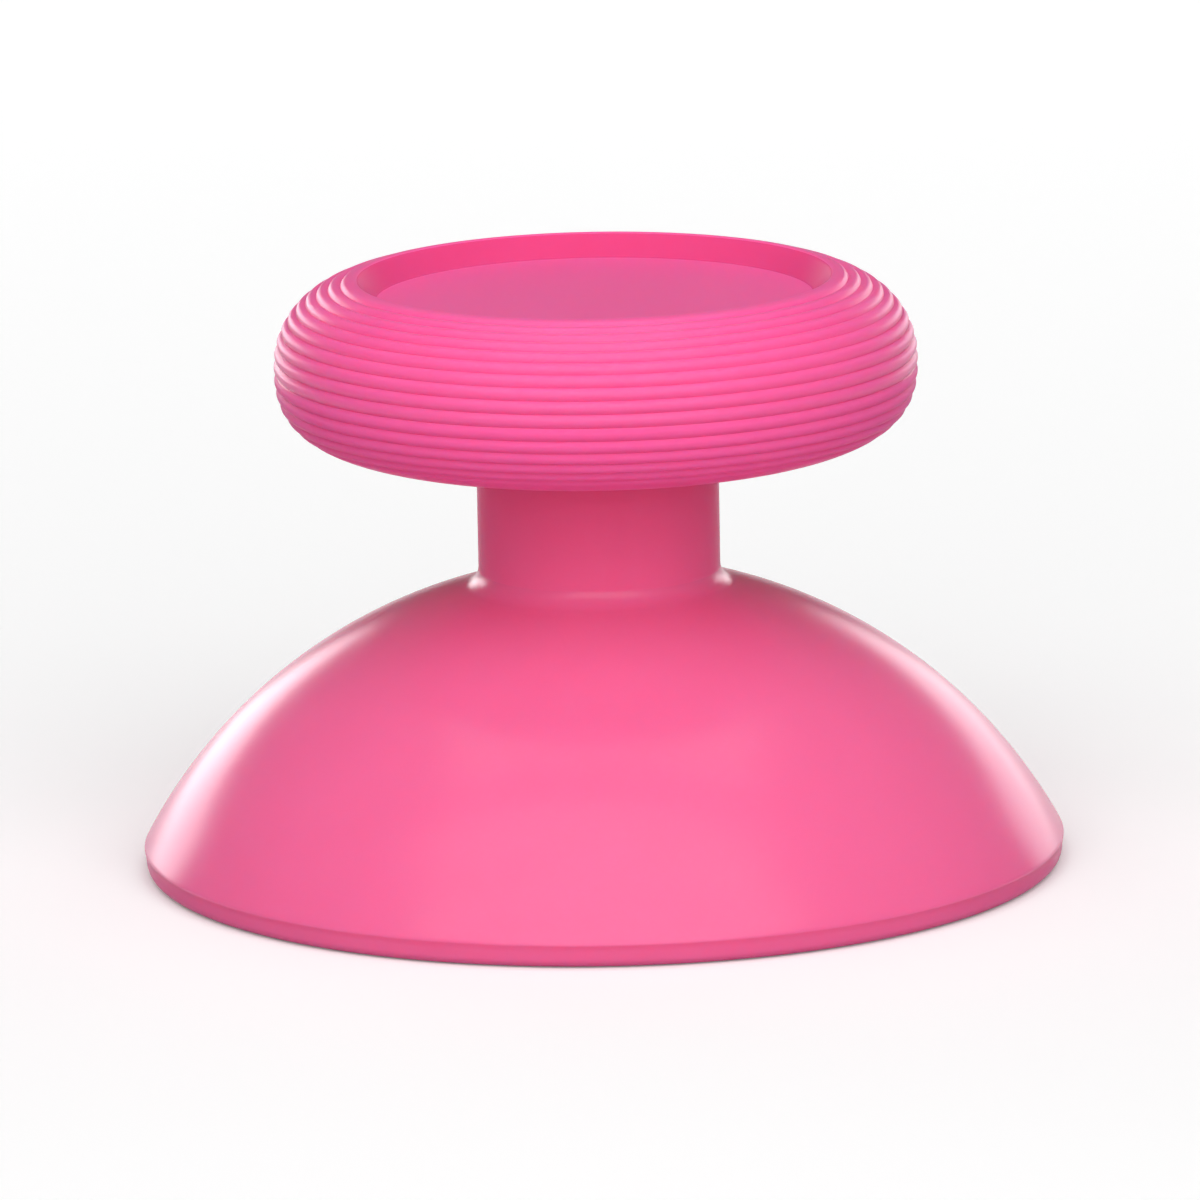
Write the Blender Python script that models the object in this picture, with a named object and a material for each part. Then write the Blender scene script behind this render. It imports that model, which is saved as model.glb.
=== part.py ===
"""Controller thumbstick, moulded in one piece.

A wide round cap with a shallow dished top and ringed sides stands on a short round stem.
The stem flares into a thin domed skirt, hollow underneath. A boss inside the skirt carries
on the line of the stem and holds a flat-sided socket for the shaft that the stick is pushed on to.
The origin is the middle of the rim that the skirt stands on, with +Z up through the cap.
"""

import math

import bmesh
import bpy

MILLIMETRE = 0.001

# Cap, in millimetres: a full shoulder above its widest level and a full belly below it
CAP_DIAMETER = 18.4
SHOULDER_RISE = 2.59
SHOULDER_WIDTH = 2.4
SHOULDER_CROWN_INSET = 0.73
SHOULDER_FULLNESS = 2.17
BELLY_DROP = 2.46
BELLY_FLAT_WIDTH = 1.81
BELLY_FULLNESS = 2.68

# Dished top of the cap
DISH_DEPTH = 0.73
DISH_WALL_RUN = 0.5
DISC_EDGE_ROUNDING = 0.12
LIP_ROUNDING = 0.16

# Grip rings around the cap
GROOVE_COUNT = 15
GROOVE_WIDTH = 0.2
GROOVE_DEPTH = 0.1
RIDGE_WIDTH = 0.191
LIP_BAND_WIDTH = 0.385

# Stem between the cap and the skirt
STEM_DIAMETER = 6.94
STEM_HEIGHT_OVER_DOME = 3.51
STEM_TOP_FILLET = 0.3
STEM_FOOT_FILLET = 0.6

# Domed skirt and the band around its foot
SKIRT_DIAMETER = 26.54
DOME_RISE = 7.95
SKIRT_WALL = 1.2
SKIRT_EDGE_ROUNDING = 0.12
BAND_HEIGHT = 0.66
BAND_SETBACK = 0.08
BAND_FOOT_ROUNDING = 0.3

# Boss under the dome, and the socket in it
SOCKET_DIAMETER = 4.1
SOCKET_FLAT_CUT = 0.5
SOCKET_DEPTH = 5.0
SOCKET_LEAD_IN = 0.25
BOSS_WALL = 1.45
BOSS_END_ABOVE_RIM = 0.6
BOSS_END_CHAMFER = 0.25
BOSS_ROOT_FILLET = 0.5

# Fineness of the mesh
TURN_STEPS = 48
DOME_STEPS = 12
BELLY_STEPS = 6
FILLET_STEPS = 5
ROUNDING_STEPS = 3
SOCKET_ARC_STEPS = 6
CURVE_SAMPLES = 400
MERGE_DISTANCE = 0.00001

# Colour of the moulding
PINK = (0.855, 0.082, 0.275, 1.0)
MOULDED_ROUGHNESS = 0.42

# Heights that follow from the sizes above
SKIRT_EDGE_Z = BAND_HEIGHT
DOME_TOP_Z = SKIRT_EDGE_Z + DOME_RISE
CAP_UNDERSIDE_Z = DOME_TOP_Z + STEM_HEIGHT_OVER_DOME
CAP_MIDDLE_Z = CAP_UNDERSIDE_Z + BELLY_DROP
CAP_CROWN_Z = CAP_MIDDLE_Z + SHOULDER_RISE
DISC_Z = CAP_CROWN_Z - DISH_DEPTH

# Radii that follow from them
CAP_RADIUS = CAP_DIAMETER / 2
LIP_RADIUS = CAP_RADIUS - SHOULDER_WIDTH
STEM_RADIUS = STEM_DIAMETER / 2
SKIRT_RADIUS = SKIRT_DIAMETER / 2
BAND_RADIUS = SKIRT_RADIUS - BAND_SETBACK
BOSS_RADIUS = SOCKET_DIAMETER / 2 + BOSS_WALL

# The dome is part of a ball whose surface passes through its top and its lower edge
DOME_RADIUS = (SKIRT_RADIUS ** 2 + DOME_RISE ** 2) / (2 * DOME_RISE)
DOME_CENTRE = (0.0, DOME_TOP_Z - DOME_RADIUS)
HOLLOW_RADIUS = DOME_RADIUS - SKIRT_WALL


def clear_scene():
    for old in list(bpy.data.objects):
        bpy.data.objects.remove(old, do_unlink=True)


def arc(centre, radius, start, end, steps):
    """Points (r, z) on a circle, from one angle to another in radians."""
    points = []
    for step in range(steps + 1):
        angle = start + (end - start) * step / steps
        points.append((centre[0] + radius * math.cos(angle), centre[1] + radius * math.sin(angle)))
    return points


def direction(centre, point):
    return math.atan2(point[1] - centre[1], point[0] - centre[0])


def part_way(start, end, share):
    return tuple(a + (b - a) * share for a, b in zip(start, end))


def eased_corner(before, corner, after, rounding):
    """A corner of the outline, rounded between points that lie the same way back along each side."""
    start = part_way(corner, before, min(rounding / math.dist(corner, before), 0.5))
    end = part_way(corner, after, min(rounding / math.dist(corner, after), 0.5))
    points = []
    for step in range(ROUNDING_STEPS + 1):
        share = step / ROUNDING_STEPS
        points.append(part_way(part_way(start, corner, share), part_way(corner, end, share), share))
    return points


def full_quarter(pole_radius, height, fullness, turn):
    """Radius and height on a superellipse from its pole (turn 0) to the widest of the cap (turn 1)."""
    angle = turn * math.pi / 2
    across = math.sin(angle) ** (2 / fullness)
    along = max(math.cos(angle), 0.0) ** (2 / fullness)
    return pole_radius + (CAP_RADIUS - pole_radius) * across, height * along


def cap_side():
    """The smooth side of the cap, from the lip of the dish over the widest level to the underside."""
    crown_radius = LIP_RADIUS - SHOULDER_CROWN_INSET
    belly_radius = STEM_RADIUS + BELLY_FLAT_WIDTH
    turns = [sample / CURVE_SAMPLES for sample in range(CURVE_SAMPLES + 1)]
    shoulder = [full_quarter(crown_radius, SHOULDER_RISE, SHOULDER_FULLNESS, turn) for turn in turns]
    belly = [full_quarter(belly_radius, BELLY_DROP, BELLY_FULLNESS, turn) for turn in reversed(turns)]
    side = [(r, CAP_MIDDLE_Z + rise) for r, rise in shoulder if r >= LIP_RADIUS]
    side += [(r, CAP_MIDDLE_Z - drop) for r, drop in belly[1:]]
    return side


def along(curve):
    """A function giving the point and the outward direction at a distance, and the whole length."""
    lengths = [0.0]
    for start, end in zip(curve, curve[1:]):
        lengths.append(lengths[-1] + math.dist(start, end))

    def at(distance):
        index = 1
        while index < len(curve) - 1 and lengths[index] < distance:
            index += 1
        start, end = curve[index - 1], curve[index]
        run = lengths[index] - lengths[index - 1]
        point = part_way(start, end, (distance - lengths[index - 1]) / run)
        outward = ((start[1] - end[1]) / run, (end[0] - start[0]) / run)
        return point, outward

    return at, lengths[-1]


def dish():
    """The top of the cap, from the axis over the flat disc and up its sloping wall to the lip."""
    side = cap_side()
    at, _ = along(side)
    middle = (0.0, DISC_Z)
    disc_edge = (LIP_RADIUS - DISH_WALL_RUN, DISC_Z)
    lip = side[0]
    shoulder = at(LIP_BAND_WIDTH / 2)[0]
    points = [middle]
    points += eased_corner(middle, disc_edge, lip, DISC_EDGE_ROUNDING)
    points += eased_corner(disc_edge, lip, shoulder, LIP_ROUNDING)
    points.append(shoulder)
    return points


def ringed_side():
    """The side of the cap with its grooves, then the plain belly under the last one."""
    at, length = along(cap_side())
    half = GROOVE_WIDTH / 2
    start = LIP_BAND_WIDTH
    points = []
    for _ in range(GROOVE_COUNT):
        if start + GROOVE_WIDTH + RIDGE_WIDTH > length:
            break
        (bottom_r, bottom_z), (out_r, out_z) = at(start + half)
        points.append(at(start)[0])
        points.append((bottom_r - out_r * GROOVE_DEPTH, bottom_z - out_z * GROOVE_DEPTH))
        points.append(at(start + GROOVE_WIDTH)[0])
        start += GROOVE_WIDTH + RIDGE_WIDTH
    last = start - RIDGE_WIDTH
    for step in range(1, BELLY_STEPS + 1):
        points.append(at(last + (length - last) * step / BELLY_STEPS)[0])
    return points


def stem():
    """The stem, from a fillet under the cap to a fillet that lands on the dome."""
    top_centre = (STEM_RADIUS + STEM_TOP_FILLET, CAP_UNDERSIDE_Z - STEM_TOP_FILLET)
    reach = STEM_RADIUS + STEM_FOOT_FILLET
    height = math.sqrt((DOME_RADIUS + STEM_FOOT_FILLET) ** 2 - reach ** 2)
    foot_centre = (reach, DOME_CENTRE[1] + height)
    landing = direction(foot_centre, DOME_CENTRE) % (2 * math.pi)
    points = arc(top_centre, STEM_TOP_FILLET, math.pi / 2, math.pi, ROUNDING_STEPS)
    points += arc(foot_centre, STEM_FOOT_FILLET, math.pi, landing, FILLET_STEPS)
    return points


def skirt_outside(start):
    """The dome from the stem's fillet to its lower edge, then the set-back band down to the rim."""
    edge = (SKIRT_RADIUS, SKIRT_EDGE_Z)
    band_top = (BAND_RADIUS, SKIRT_EDGE_Z - BAND_SETBACK)
    dome = arc(DOME_CENTRE, DOME_RADIUS, direction(DOME_CENTRE, start), direction(DOME_CENTRE, edge),
               DOME_STEPS)
    foot = min(BAND_FOOT_ROUNDING, (BAND_RADIUS - rim_inner_radius()) / 2)
    points = dome[1:-1] + eased_corner(dome[-2], edge, band_top, SKIRT_EDGE_ROUNDING)
    points += arc((BAND_RADIUS - foot, foot), foot, 0.0, -math.pi / 2, ROUNDING_STEPS)
    return points


def rim_inner_radius():
    return math.sqrt(HOLLOW_RADIUS ** 2 - DOME_CENTRE[1] ** 2)


def skirt_inside():
    """The hollow under the dome: from the rim up the inner ball and down to the boss."""
    reach = BOSS_RADIUS + BOSS_ROOT_FILLET
    height = math.sqrt((HOLLOW_RADIUS - BOSS_ROOT_FILLET) ** 2 - reach ** 2)
    root_centre = (reach, DOME_CENTRE[1] + height)
    rim_angle = direction(DOME_CENTRE, (rim_inner_radius(), 0.0))
    root_angle = direction(DOME_CENTRE, root_centre)
    points = arc(DOME_CENTRE, HOLLOW_RADIUS, rim_angle, root_angle, DOME_STEPS)
    points += arc(root_centre, BOSS_ROOT_FILLET, root_angle, math.pi, FILLET_STEPS)[1:]
    return points


def boss_end():
    return [(BOSS_RADIUS, BOSS_END_ABOVE_RIM + BOSS_END_CHAMFER),
            (BOSS_RADIUS - BOSS_END_CHAMFER, BOSS_END_ABOVE_RIM),
            (0.0, BOSS_END_ABOVE_RIM)]


def stick_outline():
    """Half of the section, from the axis on top, down the outside, round the rim and back to the axis."""
    stem_points = stem()
    return dish() + ringed_side() + stem_points + skirt_outside(stem_points[-1]) + skirt_inside() + boss_end()


def pink_plastic():
    material = bpy.data.materials.new("pink_moulded_plastic")
    material.use_nodes = True
    shader = material.node_tree.nodes["Principled BSDF"]
    shader.inputs["Base Color"].default_value = PINK
    shader.inputs["Roughness"].default_value = MOULDED_ROUGHNESS
    shader.inputs["Metallic"].default_value = 0.0
    return material


def turned(name, outline):
    """A solid turned about the Z axis from its half section."""
    mesh = bpy.data.meshes.new(name)
    corners = [(r * MILLIMETRE, 0.0, z * MILLIMETRE) for r, z in outline]
    edges = [(index, index + 1) for index in range(len(corners) - 1)]
    mesh.from_pydata(corners, edges, [])
    body = bpy.data.objects.new(name, mesh)
    bpy.context.collection.objects.link(body)
    screw = body.modifiers.new("turn", "SCREW")
    screw.axis = "Z"
    screw.angle = 2 * math.pi
    screw.steps = TURN_STEPS
    screw.render_steps = TURN_STEPS
    screw.use_smooth_shade = True
    screw.use_merge_vertices = True
    screw.merge_threshold = MERGE_DISTANCE
    return body


def flat_sided_outline(spread):
    """A circle with two flats, grown outward by spread on every side."""
    radius = SOCKET_DIAMETER / 2 + spread
    half_flats = radius - SOCKET_FLAT_CUT
    corner = math.asin(half_flats / radius)
    right = arc((0.0, 0.0), radius, -corner, corner, SOCKET_ARC_STEPS)
    left = arc((0.0, 0.0), radius, math.pi - corner, math.pi + corner, SOCKET_ARC_STEPS)
    return right + left


def socket_cutter():
    """The space of the socket, with a lead-in that widens past the end of the boss."""
    levels = [
        (BOSS_END_ABOVE_RIM - SOCKET_LEAD_IN, 2 * SOCKET_LEAD_IN),
        (BOSS_END_ABOVE_RIM + SOCKET_LEAD_IN, 0.0),
        (BOSS_END_ABOVE_RIM + SOCKET_DEPTH, 0.0),
    ]
    shape = bmesh.new()
    loops = []
    for z, spread in levels:
        loops.append([shape.verts.new((x * MILLIMETRE, y * MILLIMETRE, z * MILLIMETRE))
                      for x, y in flat_sided_outline(spread)])
    shape.faces.new(reversed(loops[0]))
    shape.faces.new(loops[-1])
    for lower, upper in zip(loops, loops[1:]):
        for index in range(len(lower)):
            following = (index + 1) % len(lower)
            shape.faces.new((lower[index], lower[following], upper[following], upper[index]))
    mesh = bpy.data.meshes.new("socket_cutter")
    shape.to_mesh(mesh)
    shape.free()
    cutter = bpy.data.objects.new("socket_cutter", mesh)
    bpy.context.collection.objects.link(cutter)
    cutter.hide_render = True
    cutter.display_type = "WIRE"
    return cutter


def build_thumbstick():
    stick = turned("thumbstick", stick_outline())
    stick.data.materials.append(pink_plastic())
    cut = stick.modifiers.new("socket", "BOOLEAN")
    cut.operation = "DIFFERENCE"
    cut.solver = "EXACT"
    cut.object = socket_cutter()


clear_scene()
build_thumbstick()
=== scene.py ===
import math

import bpy
from mathutils import Matrix, Vector


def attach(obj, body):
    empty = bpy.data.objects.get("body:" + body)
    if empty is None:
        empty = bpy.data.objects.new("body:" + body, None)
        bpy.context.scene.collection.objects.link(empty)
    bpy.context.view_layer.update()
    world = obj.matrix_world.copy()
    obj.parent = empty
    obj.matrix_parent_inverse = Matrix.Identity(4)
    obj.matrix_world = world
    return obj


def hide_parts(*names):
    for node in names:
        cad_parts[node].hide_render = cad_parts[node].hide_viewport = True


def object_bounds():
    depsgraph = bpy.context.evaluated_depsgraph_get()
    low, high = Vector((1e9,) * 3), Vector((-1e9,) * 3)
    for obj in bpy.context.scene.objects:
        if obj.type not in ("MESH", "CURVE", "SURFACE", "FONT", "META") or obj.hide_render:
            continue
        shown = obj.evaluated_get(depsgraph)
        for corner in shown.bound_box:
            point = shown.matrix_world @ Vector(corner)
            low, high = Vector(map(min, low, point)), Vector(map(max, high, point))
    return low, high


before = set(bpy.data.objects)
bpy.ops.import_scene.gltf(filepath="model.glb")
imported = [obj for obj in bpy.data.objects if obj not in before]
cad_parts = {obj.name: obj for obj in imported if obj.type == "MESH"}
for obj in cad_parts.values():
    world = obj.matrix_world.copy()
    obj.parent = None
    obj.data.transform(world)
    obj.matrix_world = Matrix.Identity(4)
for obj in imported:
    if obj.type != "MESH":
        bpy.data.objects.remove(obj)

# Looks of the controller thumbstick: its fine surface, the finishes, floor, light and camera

CAD_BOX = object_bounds()
MILLIMETRE = 0.001
NODE = "thumbstick"

# Cap, in millimetres
CAP_DIAMETER = 18.4
SHOULDER_RISE = 2.59
SHOULDER_WIDTH = 2.4
SHOULDER_CROWN_INSET = 0.73
SHOULDER_FULLNESS = 2.17
BELLY_DROP = 2.46
BELLY_FLAT_WIDTH = 1.81
BELLY_FULLNESS = 2.68

# Dished top of the cap
DISH_DEPTH = 0.73
DISH_WALL_RUN = 0.5
DISC_EDGE_ROUNDING = 0.05
LIP_ROUNDING = 0.16

# Grip rings: round crests between narrow valleys
RING_COUNT = 15
RING_PITCH = 0.391
VALLEY_DEPTH = 0.095
VALLEY_SHARPNESS = 1.2
FIRST_VALLEY = 0.485

# Stem and skirt
STEM_DIAMETER = 6.94
STEM_HEIGHT_OVER_DOME = 3.51
STEM_TOP_FILLET = 0.3
STEM_FOOT_FILLET = 0.6
SKIRT_DIAMETER = 26.54
DOME_RISE = 7.95
SKIRT_WALL = 1.2
SKIRT_EDGE_ROUNDING = 0.132
BAND_HEIGHT = 0.66
BAND_SETBACK = 0.08
BAND_FOOT_ROUNDING = 0.3

# Boss and socket
SOCKET_DIAMETER = 4.1
SOCKET_FLAT_CUT = 0.5
SOCKET_DEPTH = 5.0
SOCKET_LEAD_IN = 0.25
BOSS_WALL = 1.45
BOSS_END_ABOVE_RIM = 0.6
BOSS_END_CHAMFER = 0.25
BOSS_ROOT_FILLET = 0.5

# Fineness of the mesh. Heights less than HAIR apart count as one
TURN_STEPS = 192
SAMPLES_PER_RING = 12
ROUNDING_STEPS = 8
LONGEST_STEP = 0.32
BELLY_STEP = LONGEST_STEP / 2
CURVE_SAMPLES = 1200
HAIR = 0.001
SHARP_ANGLE = math.radians(36)

# Heights and radii that follow from the sizes above
DOME_TOP_Z = BAND_HEIGHT + DOME_RISE
CAP_UNDERSIDE_Z = DOME_TOP_Z + STEM_HEIGHT_OVER_DOME
CAP_MIDDLE_Z = CAP_UNDERSIDE_Z + BELLY_DROP
DISC_Z = CAP_MIDDLE_Z + SHOULDER_RISE - DISH_DEPTH
CAP_RADIUS = CAP_DIAMETER / 2
LIP_RADIUS = CAP_RADIUS - SHOULDER_WIDTH
DISH_WALL_TOP_RADIUS = LIP_RADIUS - LIP_ROUNDING / 4
STEM_RADIUS = STEM_DIAMETER / 2
STEM_REACH = STEM_RADIUS + STEM_TOP_FILLET
SKIRT_RADIUS = SKIRT_DIAMETER / 2
BAND_RADIUS = SKIRT_RADIUS - BAND_SETBACK
BAND_FOOT_RADIUS = BAND_RADIUS - BAND_FOOT_ROUNDING
SOCKET_RADIUS = SOCKET_DIAMETER / 2
BOSS_RADIUS = SOCKET_RADIUS + BOSS_WALL
DOME_RADIUS = (SKIRT_RADIUS ** 2 + DOME_RISE ** 2) / (2 * DOME_RISE)
DOME_CENTRE = (0.0, DOME_TOP_Z - DOME_RADIUS)
HOLLOW_RADIUS = DOME_RADIUS - SKIRT_WALL

# Colours are linear. Lengths from here to the camera are in metres
CAP_PINK = (0.93, 0.118, 0.355, 1.0)
# The dish wall's pink is darker and deeper red than the cap's: painted shade of the dish's recess
WALL_PAINTED_SHADE_PINK = (0.74, 0.066, 0.225, 1.0)
STEM_PINK = (0.88, 0.135, 0.32, 1.0)
BODY_PINK = (0.86, 0.138, 0.325, 1.0)
CAP_ROUGHNESS = 0.34
BODY_ROUGHNESS = 0.23
CAP_GLOSS = 0.42
DEEP_GLOSS = 0.02
BODY_GLOSS = 0.45
CAP_GRAIN_HEIGHT = 0.0000012
BODY_GRAIN_HEIGHT = 0.0000005
REFRACTION = 1.33
MOTTLE_SIZE = 0.0025
MOTTLE_DETAIL = 4.0
MOTTLE_DEPTH = 0.025
SHEEN_SPREAD = 0.03
GRAIN_SIZE = 0.00009
GRAIN_DETAIL = 2.0
GLOW_WITHIN = 0.6
GLOW_REACH = 0.0006
GLOW_REACH_BY_COLOUR = (1.0, 0.15, 0.2)

# Finishes: name, colour, roughness, gloss and height of the grain
FINISHES = (
    ("ringed_cap_pink", CAP_PINK, CAP_ROUGHNESS, CAP_GLOSS, CAP_GRAIN_HEIGHT),
    # The dish wall's colour holds painted shade, darker than the cap round it
    ("dish_wall_painted_shade", WALL_PAINTED_SHADE_PINK, CAP_ROUGHNESS, DEEP_GLOSS, CAP_GRAIN_HEIGHT),
    ("stem_and_band_pink", STEM_PINK, BODY_ROUGHNESS, DEEP_GLOSS, BODY_GRAIN_HEIGHT),
    ("smooth_body_pink", BODY_PINK, BODY_ROUGHNESS, BODY_GLOSS, BODY_GRAIN_HEIGHT),
    ("cap_belly_pink", CAP_PINK, CAP_ROUGHNESS, DEEP_GLOSS, CAP_GRAIN_HEIGHT),
)
RINGED_CAP, PAINTED_SHADE_WALL, STEM_AND_BAND, SMOOTH_BODY, CAP_BELLY = range(len(FINISHES))

# Floor: its colour as other things see it, then its colour and own light as the camera sees it.
# That light rises along Y, from near to far
FLOOR_HALF_WIDTH = 2.0
FLOOR_DROP = 0.00002
FLOOR_COLOUR = (0.5, 0.5, 0.5, 1.0)
FLOOR_SHADE_COLOUR = (0.85, 0.85, 0.85, 1.0)
FLOOR_OWN_LIGHT_NEAR = 0.14
FLOOR_OWN_LIGHT_FAR = 0.38
FLOOR_NEAR = 0.0
FLOOR_FAR = 0.15

# World
HORIZON_LIGHT = 0.15
OVERHEAD_LIGHT = 0.16
WHITE = (1.0, 1.0, 1.0, 1.0)

# Lamps: name, azimuth and elevation in degrees, width and height in metres, power in watts.
# Azimuth 0 is in front and 90 to the right
LAMP_DISTANCE = 0.5
LAMPS = (
    ("front_softbox", 8, 27, 0.65, 0.185, 0.88),
    ("low_front_softbox", 6, 11, 0.45, 0.12, 0.42),
    ("high_front_softbox", 4, 48, 0.9, 0.22, 1.3),
    ("top_softbox", 0, 68, 0.68, 0.13, 0.56),
    ("overhead_softbox", 180, 84, 0.5, 0.2, 0.55),
    ("back_left_strip", -146, 6, 0.29, 0.13, 0.48),
    ("back_right_strip", 155, 6, 0.29, 0.13, 0.3),
)

# Camera: place, aim, lens and sensor in millimetres, lean in degrees, clipping in metres
CAMERA_PLACE = (20.04, -302.57, 72.61)
CAMERA_AIM = (0.0, 0.0, 7.6)
CAMERA_UP_LEAN = 15.58
CAMERA_LENS = 324.2
CAMERA_SENSOR = 36.0
CAMERA_NEAREST = 0.01
CAMERA_FARTHEST = 10.0


def part_way(start, end, share):
    return tuple(a + (b - a) * share for a, b in zip(start, end))


def direction(centre, point):
    return math.atan2(point[1] - centre[1], point[0] - centre[0])


def arc(centre, radius, start, end):
    """Points (r, z) on a circle, from one angle to another in radians."""
    steps = max(ROUNDING_STEPS, math.ceil(radius * abs(end - start) / LONGEST_STEP))
    angles = [start + (end - start) * step / steps for step in range(steps + 1)]
    return [(centre[0] + radius * math.cos(angle), centre[1] + radius * math.sin(angle))
            for angle in angles]


def eased_corner(before, corner, after, rounding):
    """A corner of the outline, rounded between points equally far back along each side."""
    start = part_way(corner, before, min(rounding / math.dist(corner, before), 0.5))
    end = part_way(corner, after, min(rounding / math.dist(corner, after), 0.5))
    shares = [step / ROUNDING_STEPS for step in range(ROUNDING_STEPS + 1)]
    return [part_way(part_way(start, corner, s), part_way(corner, end, s), s) for s in shares]


def full_quarter(pole_radius, height, fullness, turn):
    """Radius and height on a superellipse, from its pole (turn 0) to the cap's widest (turn 1)."""
    angle = turn * math.pi / 2
    across = math.sin(angle) ** (2 / fullness)
    rise = max(math.cos(angle), 0.0) ** (2 / fullness)
    return pole_radius + (CAP_RADIUS - pole_radius) * across, height * rise


def cap_side():
    """The smooth side of the cap, from the lip of the dish past its widest to the underside."""
    crown_radius = LIP_RADIUS - SHOULDER_CROWN_INSET
    belly_radius = STEM_RADIUS + BELLY_FLAT_WIDTH
    turns = [sample / CURVE_SAMPLES for sample in range(CURVE_SAMPLES + 1)]
    shoulder = [full_quarter(crown_radius, SHOULDER_RISE, SHOULDER_FULLNESS, turn)
                for turn in turns]
    belly = [full_quarter(belly_radius, BELLY_DROP, BELLY_FULLNESS, turn)
             for turn in reversed(turns)]
    side = [(r, CAP_MIDDLE_Z + rise) for r, rise in shoulder if r >= LIP_RADIUS]
    side += [(r, CAP_MIDDLE_Z - drop) for r, drop in belly[1:]]
    return side


def along(curve):
    """A function giving the point and the outward direction at a distance, and the whole length."""
    lengths = [0.0]
    for start, end in zip(curve, curve[1:]):
        lengths.append(lengths[-1] + math.dist(start, end))

    def at(distance):
        index = 1
        while index < len(curve) - 1 and lengths[index] < distance:
            index += 1
        start, end = curve[index - 1], curve[index]
        run = lengths[index] - lengths[index - 1]
        point = part_way(start, end, (distance - lengths[index - 1]) / run)
        outward = ((start[1] - end[1]) / run, (end[0] - start[0]) / run)
        return point, outward

    return at, lengths[-1]


def valley_at(distance):
    """How far the surface lies under the smooth side, at a distance from the lip."""
    index = min(max(round((distance - FIRST_VALLEY) / RING_PITCH), 0), RING_COUNT - 1)
    away = abs(distance - FIRST_VALLEY - index * RING_PITCH)
    share = min(away / (RING_PITCH / 2), 1.0)
    return VALLEY_DEPTH * (1 - math.sin(share * math.pi / 2)) ** VALLEY_SHARPNESS


def ringed_side():
    """The side of the cap with its rings, then the plain belly under the last one."""
    at, length = along(cap_side())
    step = RING_PITCH / SAMPLES_PER_RING
    first = FIRST_VALLEY - RING_PITCH / 2
    rings_end = first + RING_COUNT * RING_PITCH
    distances = [first + index * step for index in range(RING_COUNT * SAMPLES_PER_RING)]
    belly_length = length - rings_end
    belly_steps = math.ceil(belly_length / BELLY_STEP)
    distances += [rings_end + belly_length * index / belly_steps
                  for index in range(belly_steps + 1)]
    points = []
    for distance in distances:
        (r, z), (out_r, out_z) = at(distance)
        depth = valley_at(distance)
        points.append((r - out_r * depth, z - out_z * depth))
    return points


def dish():
    """The top of the cap, from the axis over the flat disc and up its sloping wall to the lip."""
    side = cap_side()
    at, _ = along(side)
    middle = (0.0, DISC_Z)
    disc_edge = (LIP_RADIUS - DISH_WALL_RUN, DISC_Z)
    lip = side[0]
    shoulder = at(FIRST_VALLEY / 2)[0]
    points = [middle]
    points += eased_corner(middle, disc_edge, lip, DISC_EDGE_ROUNDING)
    points += eased_corner(disc_edge, lip, shoulder, LIP_ROUNDING)
    points.append(shoulder)
    return points


def stem():
    """The stem, from a fillet under the cap to a fillet that lands on the dome."""
    top_centre = (STEM_REACH, CAP_UNDERSIDE_Z - STEM_TOP_FILLET)
    foot_reach = STEM_RADIUS + STEM_FOOT_FILLET
    height = math.sqrt((DOME_RADIUS + STEM_FOOT_FILLET) ** 2 - foot_reach ** 2)
    foot_centre = (foot_reach, DOME_CENTRE[1] + height)
    landing = direction(foot_centre, DOME_CENTRE) % (2 * math.pi)
    points = arc(top_centre, STEM_TOP_FILLET, math.pi / 2, math.pi)
    return points + arc(foot_centre, STEM_FOOT_FILLET, math.pi, landing)


def rim_inner_radius():
    return math.sqrt(HOLLOW_RADIUS ** 2 - DOME_CENTRE[1] ** 2)


def skirt_outside(start):
    """The dome from the stem's fillet to its lower edge, then the set-back band to the rim."""
    edge = (SKIRT_RADIUS, BAND_HEIGHT)
    band_top = (BAND_RADIUS, BAND_HEIGHT - BAND_SETBACK)
    dome_start, dome_end = direction(DOME_CENTRE, start), direction(DOME_CENTRE, edge)
    dome = arc(DOME_CENTRE, DOME_RADIUS, dome_start, dome_end)
    foot = min(BAND_FOOT_ROUNDING, (BAND_RADIUS - rim_inner_radius()) / 2)
    points = dome[1:-1] + eased_corner(dome[-2], edge, band_top, SKIRT_EDGE_ROUNDING)
    return points + arc((BAND_RADIUS - foot, foot), foot, 0.0, -math.pi / 2)


def skirt_inside():
    """The hollow under the dome: from the rim up the inner ball and down to the boss."""
    reach = BOSS_RADIUS + BOSS_ROOT_FILLET
    height = math.sqrt((HOLLOW_RADIUS - BOSS_ROOT_FILLET) ** 2 - reach ** 2)
    root_centre = (reach, DOME_CENTRE[1] + height)
    rim_angle = direction(DOME_CENTRE, (rim_inner_radius(), 0.0))
    root_angle = direction(DOME_CENTRE, root_centre)
    points = arc(DOME_CENTRE, HOLLOW_RADIUS, rim_angle, root_angle)
    return points + arc(root_centre, BOSS_ROOT_FILLET, root_angle, math.pi)[1:]


def boss_end():
    return [(BOSS_RADIUS, BOSS_END_ABOVE_RIM + BOSS_END_CHAMFER),
            (BOSS_RADIUS - BOSS_END_CHAMFER, BOSS_END_ABOVE_RIM)]


def refined(points):
    """The same outline with no step longer than the mesh allows."""
    fine = [points[0]]
    for start, end in zip(points, points[1:]):
        steps = max(1, math.ceil(math.dist(start, end) / LONGEST_STEP))
        fine += [part_way(start, end, step / steps) for step in range(1, steps + 1)]
    return fine


def ring(r, z, half_flats=math.inf):
    """A level of the surface: a circle, or a circle with two flats facing along Y."""
    corners = []
    for step in range(TURN_STEPS):
        angle = 2 * math.pi * step / TURN_STEPS
        y = min(max(r * math.sin(angle), -half_flats), half_flats)
        corners.append((r * math.cos(angle) * MILLIMETRE, y * MILLIMETRE, z * MILLIMETRE))
    return corners


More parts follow.
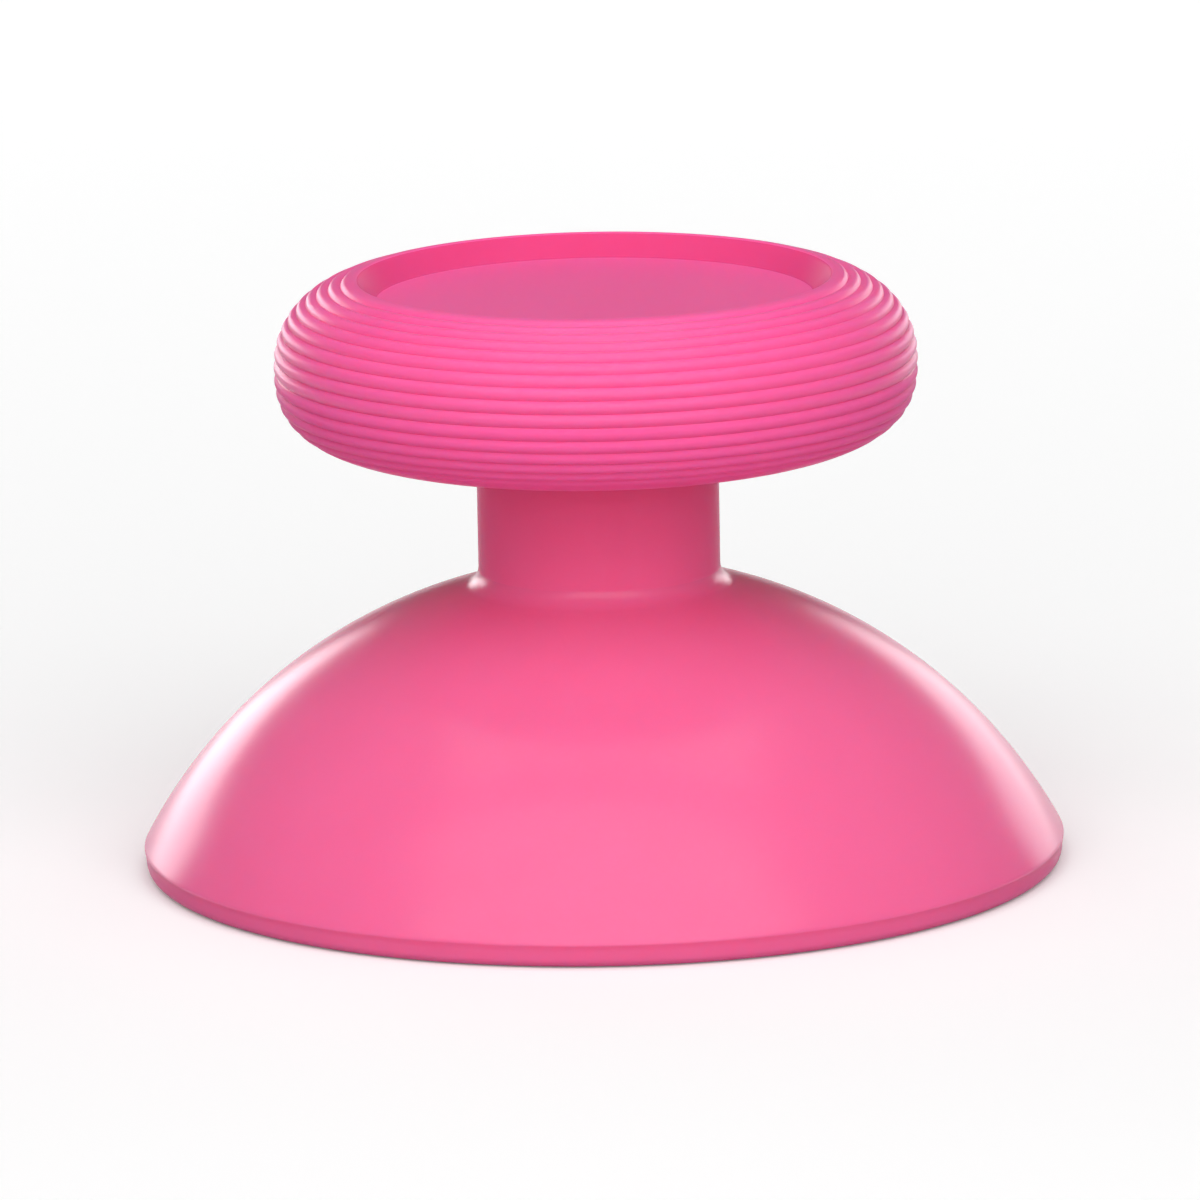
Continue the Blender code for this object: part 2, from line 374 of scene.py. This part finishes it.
def socket():
    """Levels of the flat-sided socket, from its lead-in at the boss end up to its floor."""
    mouth_z = BOSS_END_ABOVE_RIM
    floor_z = mouth_z + SOCKET_DEPTH
    outline = [(SOCKET_RADIUS + SOCKET_LEAD_IN, mouth_z), (SOCKET_RADIUS, mouth_z + SOCKET_LEAD_IN)]
    outline.append((SOCKET_RADIUS, floor_z))
    return [ring(r, z, r - SOCKET_FLAT_CUT) for r, z in refined(outline)]


def toned(colour, share):
    """The colour made darker or lighter."""
    return tuple(min(channel * share, 1.0) for channel in colour[:3]) + (1.0,)


def moulded_finish(name, colour, roughness, gloss, grain_height):
    """Satin moulded plastic: faint flow mottling, an uneven sheen and a fine even grain."""
    material = bpy.data.materials.new(name)
    material.use_nodes = True
    nodes, links = material.node_tree.nodes, material.node_tree.links
    shader = nodes["Principled BSDF"]
    shader.inputs["Metallic"].default_value = 0.0
    shader.inputs["IOR"].default_value = REFRACTION
    shader.inputs["Specular IOR Level"].default_value = gloss
    shader.inputs["Subsurface Weight"].default_value = GLOW_WITHIN
    shader.inputs["Subsurface Radius"].default_value = GLOW_REACH_BY_COLOUR
    shader.inputs["Subsurface Scale"].default_value = GLOW_REACH
    place = nodes.new("ShaderNodeTexCoord")

    mottle = nodes.new("ShaderNodeTexNoise")
    mottle.inputs["Scale"].default_value = 1 / MOTTLE_SIZE
    mottle.inputs["Detail"].default_value = MOTTLE_DETAIL
    links.new(place.outputs["Object"], mottle.inputs["Vector"])
    tone = nodes.new("ShaderNodeMix")
    tone.data_type = "RGBA"
    tone.inputs["A"].default_value = toned(colour, 1 - MOTTLE_DEPTH)
    tone.inputs["B"].default_value = toned(colour, 1 + MOTTLE_DEPTH)
    links.new(mottle.outputs["Fac"], tone.inputs["Factor"])
    links.new(tone.outputs["Result"], shader.inputs["Base Color"])

    sheen = nodes.new("ShaderNodeMapRange")
    sheen.inputs["To Min"].default_value = roughness - SHEEN_SPREAD
    sheen.inputs["To Max"].default_value = roughness + SHEEN_SPREAD
    links.new(mottle.outputs["Fac"], sheen.inputs["Value"])
    links.new(sheen.outputs["Result"], shader.inputs["Roughness"])

    grain = nodes.new("ShaderNodeTexNoise")
    grain.inputs["Scale"].default_value = 1 / GRAIN_SIZE
    grain.inputs["Detail"].default_value = GRAIN_DETAIL
    links.new(place.outputs["Object"], grain.inputs["Vector"])
    relief = nodes.new("ShaderNodeBump")
    relief.inputs["Strength"].default_value = 1.0
    relief.inputs["Distance"].default_value = grain_height
    links.new(grain.outputs["Fac"], relief.inputs["Height"])
    links.new(relief.outputs["Normal"], shader.inputs["Normal"])
    return material


def middle_valley_z():
    """Height of the valley nearest the widest level of the cap, where its two finishes meet."""
    at, _ = along(cap_side())
    heights = [at(FIRST_VALLEY + index * RING_PITCH)[0][1] for index in range(RING_COUNT)]
    return min(heights, key=lambda z: abs(z - CAP_MIDDLE_Z))


def finish_at(r, z, in_cap, belly_z):
    """The finish just below a level of the outline."""
    if in_cap and z < belly_z:
        return CAP_BELLY
    if in_cap:
        return PAINTED_SHADE_WALL if DISC_Z < z and r < DISH_WALL_TOP_RADIUS else RINGED_CAP
    on_stem = z > DOME_TOP_Z and r < STEM_REACH
    on_band = z < BAND_HEIGHT and r > BAND_FOOT_RADIUS
    return STEM_AND_BAND if on_stem or on_band else SMOOTH_BODY


def build_surface():
    """The whole moulding as one closed surface, with finishes that follow its parts; the dish
    wall's colour is darkened with painted shade.
    """
    cap = refined(dish() + ringed_side())
    stem_points = stem()
    skirt_points = skirt_outside(stem_points[-1]) + skirt_inside()
    body = refined(cap[-1:] + stem_points + skirt_points + boss_end())
    outline = cap[1:] + body[1:]
    levels = [ring(r, z) for r, z in outline]
    belly_z = middle_valley_z() + HAIR
    level_finishes = [finish_at(r, z, index < len(cap) - 1, belly_z)
                      for index, (r, z) in enumerate(outline)]
    levels += socket()
    level_finishes += [SMOOTH_BODY] * (len(levels) - len(outline))

    corners = [corner for level in levels for corner in level]
    top, floor = len(corners), len(corners) + 1
    corners += [(0.0, 0.0, cap[0][1] * MILLIMETRE), (0.0, 0.0, levels[-1][0][2])]
    last = (len(levels) - 1) * TURN_STEPS
    faces, finishes = [], []
    for step in range(TURN_STEPS):
        following = (step + 1) % TURN_STEPS
        faces.append((top, step, following))
        finishes.append(RINGED_CAP)
        for level in range(len(levels) - 1):
            upper, lower = level * TURN_STEPS, (level + 1) * TURN_STEPS
            faces.append((upper + step, lower + step,
                          lower + following, upper + following))
            finishes.append(level_finishes[level])
        faces.append((floor, last + following, last + step))
        finishes.append(SMOOTH_BODY)

    mesh = bpy.data.meshes.new("thumbstick_surface")
    mesh.from_pydata(corners, [], faces)
    for finish in FINISHES:
        mesh.materials.append(moulded_finish(*finish))
    mesh.polygons.foreach_set("material_index", finishes)
    mesh.shade_smooth()
    mesh.set_sharp_from_angle(angle=SHARP_ANGLE)
    mesh.validate()
    surface = bpy.data.objects.new("thumbstick_surface", mesh)
    bpy.context.scene.collection.objects.link(surface)
    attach(surface, "root")
    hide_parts(NODE)
    return surface


def seen_directly(nodes, links):
    """1 for rays from the camera and those that a shiny or clear thing passes on, otherwise 0."""
    rays = nodes.new("ShaderNodeLightPath")
    total = rays.outputs["Is Camera Ray"]
    for name in ("Is Glossy Ray", "Is Transmission Ray"):
        larger = nodes.new("ShaderNodeMath")
        larger.operation = "MAXIMUM"
        links.new(total, larger.inputs[0])
        links.new(rays.outputs[name], larger.inputs[1])
        total = larger.outputs["Value"]
    return total


def build_floor():
    """A wide pale floor that looks white where no shadow falls on it."""
    w, z = FLOOR_HALF_WIDTH, -FLOOR_DROP
    mesh = bpy.data.meshes.new("floor")
    mesh.from_pydata([(-w, -w, z), (w, -w, z), (w, w, z), (-w, w, z)], [], [(0, 1, 2, 3)])
    material = bpy.data.materials.new("pale_floor")
    material.use_nodes = True
    nodes, links = material.node_tree.nodes, material.node_tree.links
    nodes.remove(nodes["Principled BSDF"])
    plain = nodes.new("ShaderNodeBsdfDiffuse")
    plain.inputs["Color"].default_value = FLOOR_COLOUR
    shaded = nodes.new("ShaderNodeBsdfDiffuse")
    shaded.inputs["Color"].default_value = FLOOR_SHADE_COLOUR
    glow = nodes.new("ShaderNodeEmission")
    place = nodes.new("ShaderNodeTexCoord")
    depth = nodes.new("ShaderNodeSeparateXYZ")
    links.new(place.outputs["Object"], depth.inputs["Vector"])
    rise = nodes.new("ShaderNodeMapRange")
    rise.inputs["From Min"].default_value = FLOOR_NEAR
    rise.inputs["From Max"].default_value = FLOOR_FAR
    rise.inputs["To Min"].default_value = FLOOR_OWN_LIGHT_NEAR
    rise.inputs["To Max"].default_value = FLOOR_OWN_LIGHT_FAR
    links.new(depth.outputs["Y"], rise.inputs["Value"])
    links.new(rise.outputs["Result"], glow.inputs["Strength"])
    white = nodes.new("ShaderNodeAddShader")
    links.new(shaded.outputs["BSDF"], white.inputs[0])
    links.new(glow.outputs["Emission"], white.inputs[1])
    choice = nodes.new("ShaderNodeMixShader")
    links.new(seen_directly(nodes, links), choice.inputs["Fac"])
    links.new(plain.outputs["BSDF"], choice.inputs[1])
    links.new(white.outputs["Shader"], choice.inputs[2])
    links.new(choice.outputs["Shader"], nodes["Material Output"].inputs["Surface"])
    mesh.materials.append(material)
    floor = bpy.data.objects.new("floor", mesh)
    bpy.context.scene.collection.objects.link(floor)


def build_world():
    """Even pale light from all round, brighter from overhead."""
    world = bpy.data.worlds.new("studio")
    world.use_nodes = True
    nodes, links = world.node_tree.nodes, world.node_tree.links
    place = nodes.new("ShaderNodeTexCoord")
    height = nodes.new("ShaderNodeSeparateXYZ")
    links.new(place.outputs["Generated"], height.inputs["Vector"])
    rise = nodes.new("ShaderNodeMapRange")
    rise.interpolation_type = "SMOOTHSTEP"
    rise.inputs["From Min"].default_value = 0.0
    rise.inputs["From Max"].default_value = 1.0
    rise.inputs["To Min"].default_value = HORIZON_LIGHT
    rise.inputs["To Max"].default_value = OVERHEAD_LIGHT
    links.new(height.outputs["Z"], rise.inputs["Value"])
    links.new(rise.outputs["Result"], nodes["Background"].inputs["Strength"])
    nodes["Background"].inputs["Color"].default_value = WHITE
    bpy.context.scene.world = world


def softbox(name, azimuth, elevation, width, height, power):
    """A soft lamp turned to the middle of the stick."""
    centre = (CAD_BOX[0] + CAD_BOX[1]) / 2
    a, e = math.radians(azimuth), math.radians(elevation)
    back = Vector((math.sin(a) * math.cos(e), -math.cos(a) * math.cos(e), math.sin(e)))
    data = bpy.data.lights.new(name, "AREA")
    data.shape = "RECTANGLE"
    data.size = width
    data.size_y = height
    data.energy = power
    lamp = bpy.data.objects.new(name, data)
    lamp.location = centre + back * LAMP_DISTANCE
    lamp.rotation_mode = "QUATERNION"
    lamp.rotation_quaternion = back.to_track_quat("Z", "Y")
    bpy.context.scene.collection.objects.link(lamp)


def build_camera():
    """The camera at the photograph's place, leaning as the photograph does."""
    place = Vector(CAMERA_PLACE) * MILLIMETRE
    back = (place - Vector(CAMERA_AIM) * MILLIMETRE).normalized()
    lean = math.radians(CAMERA_UP_LEAN)
    right = Vector((0.0, math.sin(lean), math.cos(lean))).cross(back).normalized()
    up = back.cross(right)
    data = bpy.data.cameras.new("camera")
    data.sensor_width = CAMERA_SENSOR
    data.lens = CAMERA_LENS
    data.clip_start = CAMERA_NEAREST
    data.clip_end = CAMERA_FARTHEST
    camera = bpy.data.objects.new("camera", data)
    turn = Matrix((right, up, back)).transposed()
    camera.matrix_world = Matrix.Translation(place) @ turn.to_4x4()
    bpy.context.scene.collection.objects.link(camera)
    bpy.context.scene.camera = camera


build_surface()
build_floor()
build_world()
for lamp_figures in LAMPS:
    softbox(*lamp_figures)
build_camera()
bpy.context.scene.view_settings.view_transform = "Standard"
